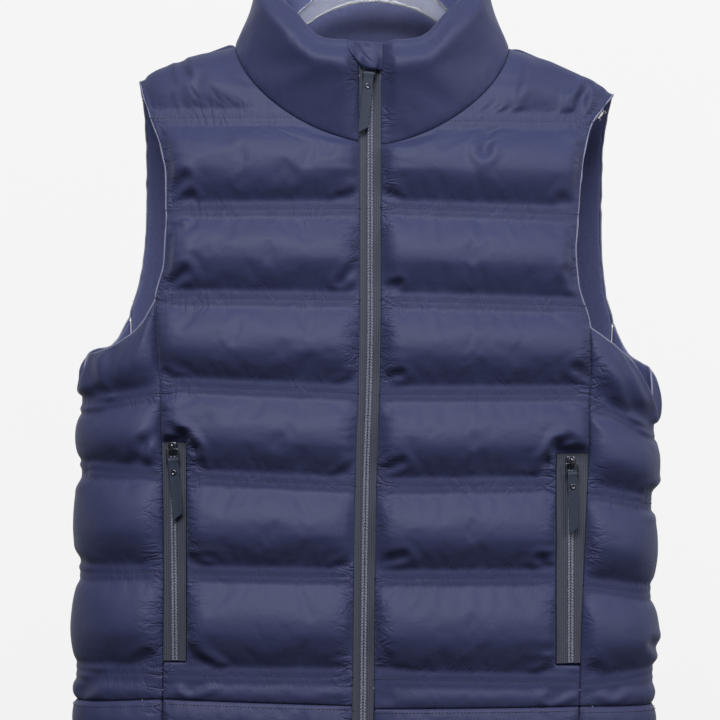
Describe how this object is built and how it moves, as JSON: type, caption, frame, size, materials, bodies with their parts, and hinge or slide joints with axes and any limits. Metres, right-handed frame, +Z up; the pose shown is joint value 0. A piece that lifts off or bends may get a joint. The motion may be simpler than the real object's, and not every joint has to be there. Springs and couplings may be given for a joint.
{
  "type": "puffer vest on a clothes hanger",
  "caption": "Sleeveless padded vest with horizontal quilted channels, a standing collar, a full front zip and zipped side pockets, hanging on a clear hanger.",
  "frame": {"origin": "the top of the hook's inside, where the hanger rests on its rail", "axes": "+X to the wearer's left, +Y to the back, +Z up; the front faces -Y"},
  "size_m": [0.558, 0.1901, 0.8038],
  "materials": {
    "shell": "semi-matte woven nylon taffeta, navy",
    "lining": "plain woven lining, dark navy",
    "binding": "narrow elastic binding, pale grey",
    "thread": "polyester sewing thread, dark navy",
    "zip_tape": "knitted polyester tape, dark grey",
    "zip_coil": "moulded nylon coil, dark grey",
    "zip_metal": "gunmetal plated zinc",
    "pull_strap": "matt slate blue rubber strap",
    "hanger_plastic": "clear moulded polystyrene",
    "hook_steel": "bright plated steel wire"
  },
  "bodies": {
    "vest": {"front_right": "shell", "front_left": "shell", "side_right": "shell", "side_left": "shell", "back": "shell", "collar": "shell", "hem_front_right": "shell", "hem_front_left": "shell", "hem_side_right": "shell", "hem_side_left": "shell", "hem_back": "shell", "zip_garage": "shell", "zip_tape_right": "zip_tape", "zip_tape_left": "zip_tape", "pocket_tape_right": "zip_tape", "pocket_tape_left": "zip_tape", "zip_coil": "zip_coil", "pocket_coil_right": "zip_coil", "pocket_coil_left": "zip_coil", "front_slider": "zip_metal", "pocket_right_slider": "zip_metal", "pocket_left_slider": "zip_metal", "hanger_body": "hanger_plastic", "hanger_hook": "hook_steel"},
    "front_pull": {"front_bail": "zip_metal", "front_strap": "pull_strap", "front_rivet": "zip_metal"},
    "pocket_right_pull": {"pocket_right_bail": "zip_metal", "pocket_right_strap": "pull_strap", "pocket_right_rivet": "zip_metal"},
    "pocket_left_pull": {"pocket_left_bail": "zip_metal", "pocket_left_strap": "pull_strap", "pocket_left_rivet": "zip_metal"}
  },
  "joints": [
    {"name": "front_pull_swing", "type": "hinge", "parent": "vest", "child": "front_pull", "pos_m": [-0.0035, -0.07184, -0.1708], "axis": [-1, 0, 0], "range_deg": [0, 40]},
    {"name": "pocket_right_pull_swing", "type": "hinge", "parent": "vest", "child": "pocket_right_pull", "pos_m": [-0.18715, -0.07437, -0.52898], "axis": [-0.9783, 0.2073, 0], "range_deg": [0, 110]},
    {"name": "pocket_left_pull_swing", "type": "hinge", "parent": "vest", "child": "pocket_left_pull", "pos_m": [0.18335, -0.0728, -0.542], "axis": [-0.9733, -0.2296, 0], "range_deg": [0, 110]}
  ]
}
